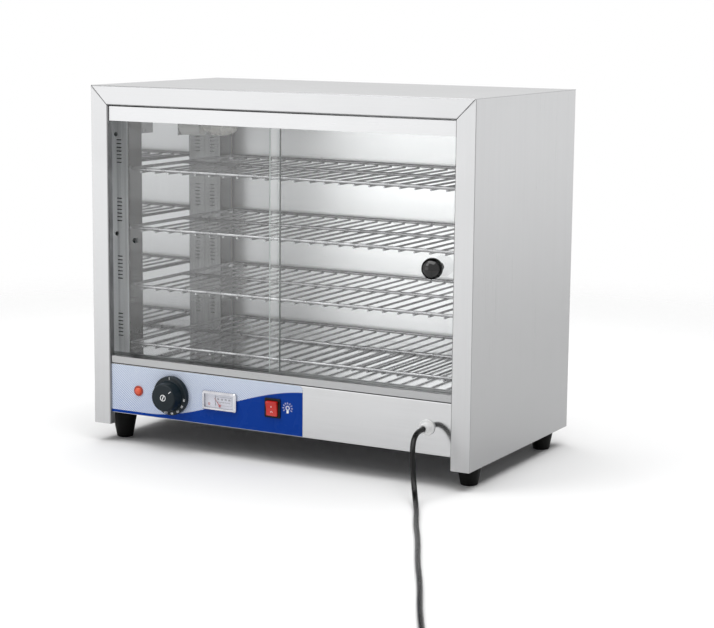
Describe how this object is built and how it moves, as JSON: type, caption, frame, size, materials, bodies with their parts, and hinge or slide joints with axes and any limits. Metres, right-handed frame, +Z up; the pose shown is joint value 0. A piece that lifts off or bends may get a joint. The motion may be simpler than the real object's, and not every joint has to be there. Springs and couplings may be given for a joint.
{
  "type": "pie warmer",
  "caption": "Countertop heated display cabinet in folded stainless sheet with sliding glass doors, wire shelves, a thermostat dial, thermometer and lit rocker switch.",
  "frame": {"origin": "on the surface that the feet stand on, under the middle of the cabinet's outline without its cord", "axes": "+X along the front to the viewer's right, +Y from the glass doors to the back, +Z up"},
  "size_m": [0.8646, 0.9872, 0.496],
  "materials": {
    "stainless": "satin stainless sheet",
    "polished_stainless": "polished stainless sheet",
    "shelf_wire": "plated wire",
    "track_metal": "satin extrusion",
    "glass": "clear toughened glass",
    "screw_steel": "plated steel",
    "black_gloss": "glossy black moulding",
    "dial_black": "satin blue-black moulding",
    "rubber_black": "matt",
    "film": "printed film",
    "lamp_red": "translucent",
    "lamp_rim": "dark red moulding",
    "rocker_red": "translucent red moulding",
    "bright_trim": "bright plated rim",
    "gauge_face": "pale printed face",
    "clear_plastic": "clear window",
    "needle_red": "painted",
    "element_steel": "heat-tinted sheath",
    "ceramic_white": "glazed ceramic",
    "lamp_glass": "pearl glass",
    "white_plastic": "white moulding",
    "cord_black": "soft sheath",
    "pin_brass": "plated brass"
  },
  "bodies": {
    "root": {"top_cover": "stainless", "right_stile": "stainless", "left_stile": "stainless", "right_side_panel": "stainless", "left_side_panel": "stainless", "back_panel": "stainless", "casing_screws": "screw_steel", "base_plate": "stainless", "foot_front_left": "rubber_black", "foot_front_right": "rubber_black", "foot_rear_left": "rubber_black", "foot_rear_right": "rubber_black", "foot_screws": "screw_steel", "control_panel": "stainless", "panel_film": "film", "sill_track": "track_metal", "head_track": "track_metal", "door_stops": "rubber_black", "chamber_deck": "polished_stainless", "front_left_post": "polished_stainless", "front_right_post": "polished_stainless", "rear_left_post": "polished_stainless", "rear_right_post": "polished_stainless", "shelf_clips": "polished_stainless", "wire_shelf_1": "shelf_wire", "wire_shelf_2": "shelf_wire", "wire_shelf_3": "shelf_wire", "wire_shelf_4": "shelf_wire", "indicator_lamp": "lamp_rim", "indicator_lens": "lamp_red", "thermostat_body": "ceramic_white", "thermostat_probe": "screw_steel", "thermometer_case": "bright_trim", "thermometer_face": "gauge_face", "thermometer_window": "clear_plastic", "switch_housing": "black_gloss", "heating_element": "element_steel", "element_terminals": "ceramic_white", "element_brackets": "screw_steel", "terminal_block": "white_plastic", "lamp_plate": "screw_steel", "lamp_holder": "ceramic_white", "lamp_bulb": "lamp_glass", "cable_gland": "white_plastic", "gland_nut": "white_plastic", "power_cord": "cord_black", "cord_coil": "cord_black", "plug_body": "cord_black", "plug_pins": "pin_brass"},
    "right_door": {"right_door_glass": "glass", "door_knob": "black_gloss", "knob_washers": "clear_plastic", "knob_screw": "screw_steel"},
    "left_door": {"left_door_glass": "glass"},
    "dial": {"thermostat_dial": "dial_black", "thermostat_shaft": "screw_steel"},
    "rocker": {"switch_rocker": "rocker_red"},
    "needle": {"thermometer_needle": "needle_red"}
  },
  "joints": [
    {"name": "right_door_slide", "type": "slide", "parent": "root", "child": "right_door", "axis": [-1, 0, 0], "range_m": [0, 0.272]},
    {"name": "left_door_slide", "type": "slide", "parent": "root", "child": "left_door", "axis": [1, 0, 0], "range_m": [0, 0.272]},
    {"name": "dial_turn", "type": "hinge", "parent": "root", "child": "dial", "pos_m": [-0.1613, -0.1469, 0.0775], "axis": [0, 1, 0], "range_deg": [0, 280]},
    {"name": "rocker_tilt", "type": "hinge", "parent": "root", "child": "rocker", "pos_m": [-0.0008, -0.1462, 0.0775], "axis": [-1, 0, 0], "range_deg": [0, 16]},
    {"name": "needle_swing", "type": "hinge", "parent": "root", "child": "needle", "pos_m": [-0.0839, -0.1474, 0.071], "axis": [0, 1, 0], "range_deg": [0, 80]}
  ]
}
